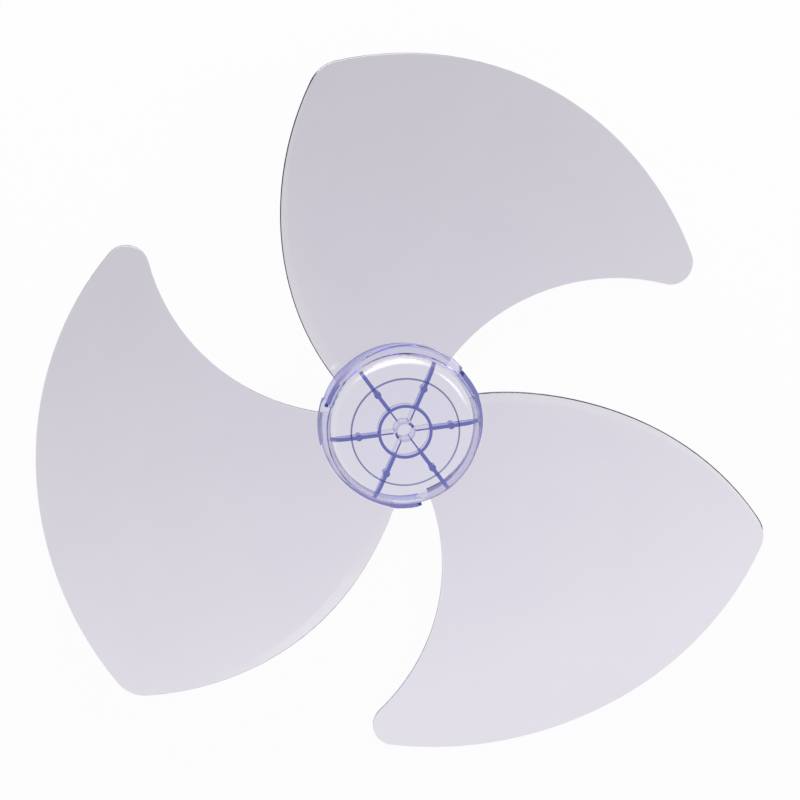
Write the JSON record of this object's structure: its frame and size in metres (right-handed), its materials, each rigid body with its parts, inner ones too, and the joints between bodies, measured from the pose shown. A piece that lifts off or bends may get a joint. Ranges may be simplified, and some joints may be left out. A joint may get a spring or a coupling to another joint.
{
  "type": "fan blade",
  "caption": "Clear moulded fan blade: swept, cambered blades on a ribbed hub cup with a blind bore that pushes onto a motor shaft.",
  "frame": {"origin": "centre of the shaft bore at its mouth, inside the hub", "axes": "+Z along the shaft towards the front of the fan, +X along one of the hub's ribs"},
  "size_m": [0.3757, 0.3821, 0.0437],
  "materials": {
    "clear_plastic": "polished, clear with a faint blue-violet tint"
  },
  "bodies": {
    "root": {"fan_blade": "clear_plastic"}
  },
  "joints": []
}
